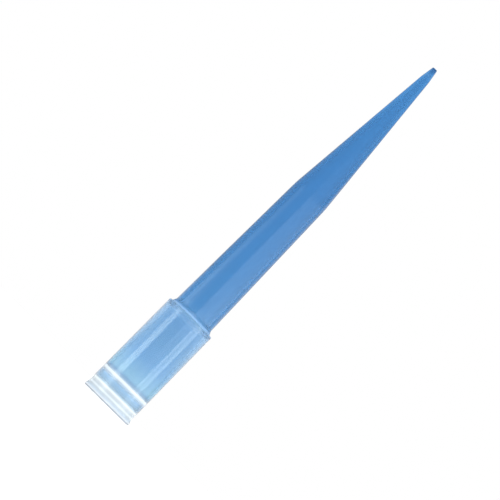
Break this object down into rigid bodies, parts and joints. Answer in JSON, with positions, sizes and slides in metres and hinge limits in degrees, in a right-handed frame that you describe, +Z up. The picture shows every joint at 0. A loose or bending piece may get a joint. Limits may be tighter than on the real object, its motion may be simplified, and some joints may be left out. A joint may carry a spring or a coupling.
{
  "type": "pipette tip",
  "caption": "Long tapered tip for a laboratory pipettor: a thin stepped socket that presses onto the nozzle, a shoulder that hangs in a rack, a barrel and a fine pointed outlet.",
  "frame": {"origin": "centre of the mouth's rim, on the plane that the rim stands on", "axes": "+Z up along the axis from the mouth to the point; X and Y are equal because the tip is round"},
  "size_m": [0.009, 0.009, 0.071],
  "materials": {
    "tinted_polypropylene": "clear blue polypropylene, slightly hazy, satin inside"
  },
  "bodies": {
    "root": {"pipette_tip": "tinted_polypropylene"}
  },
  "joints": []
}
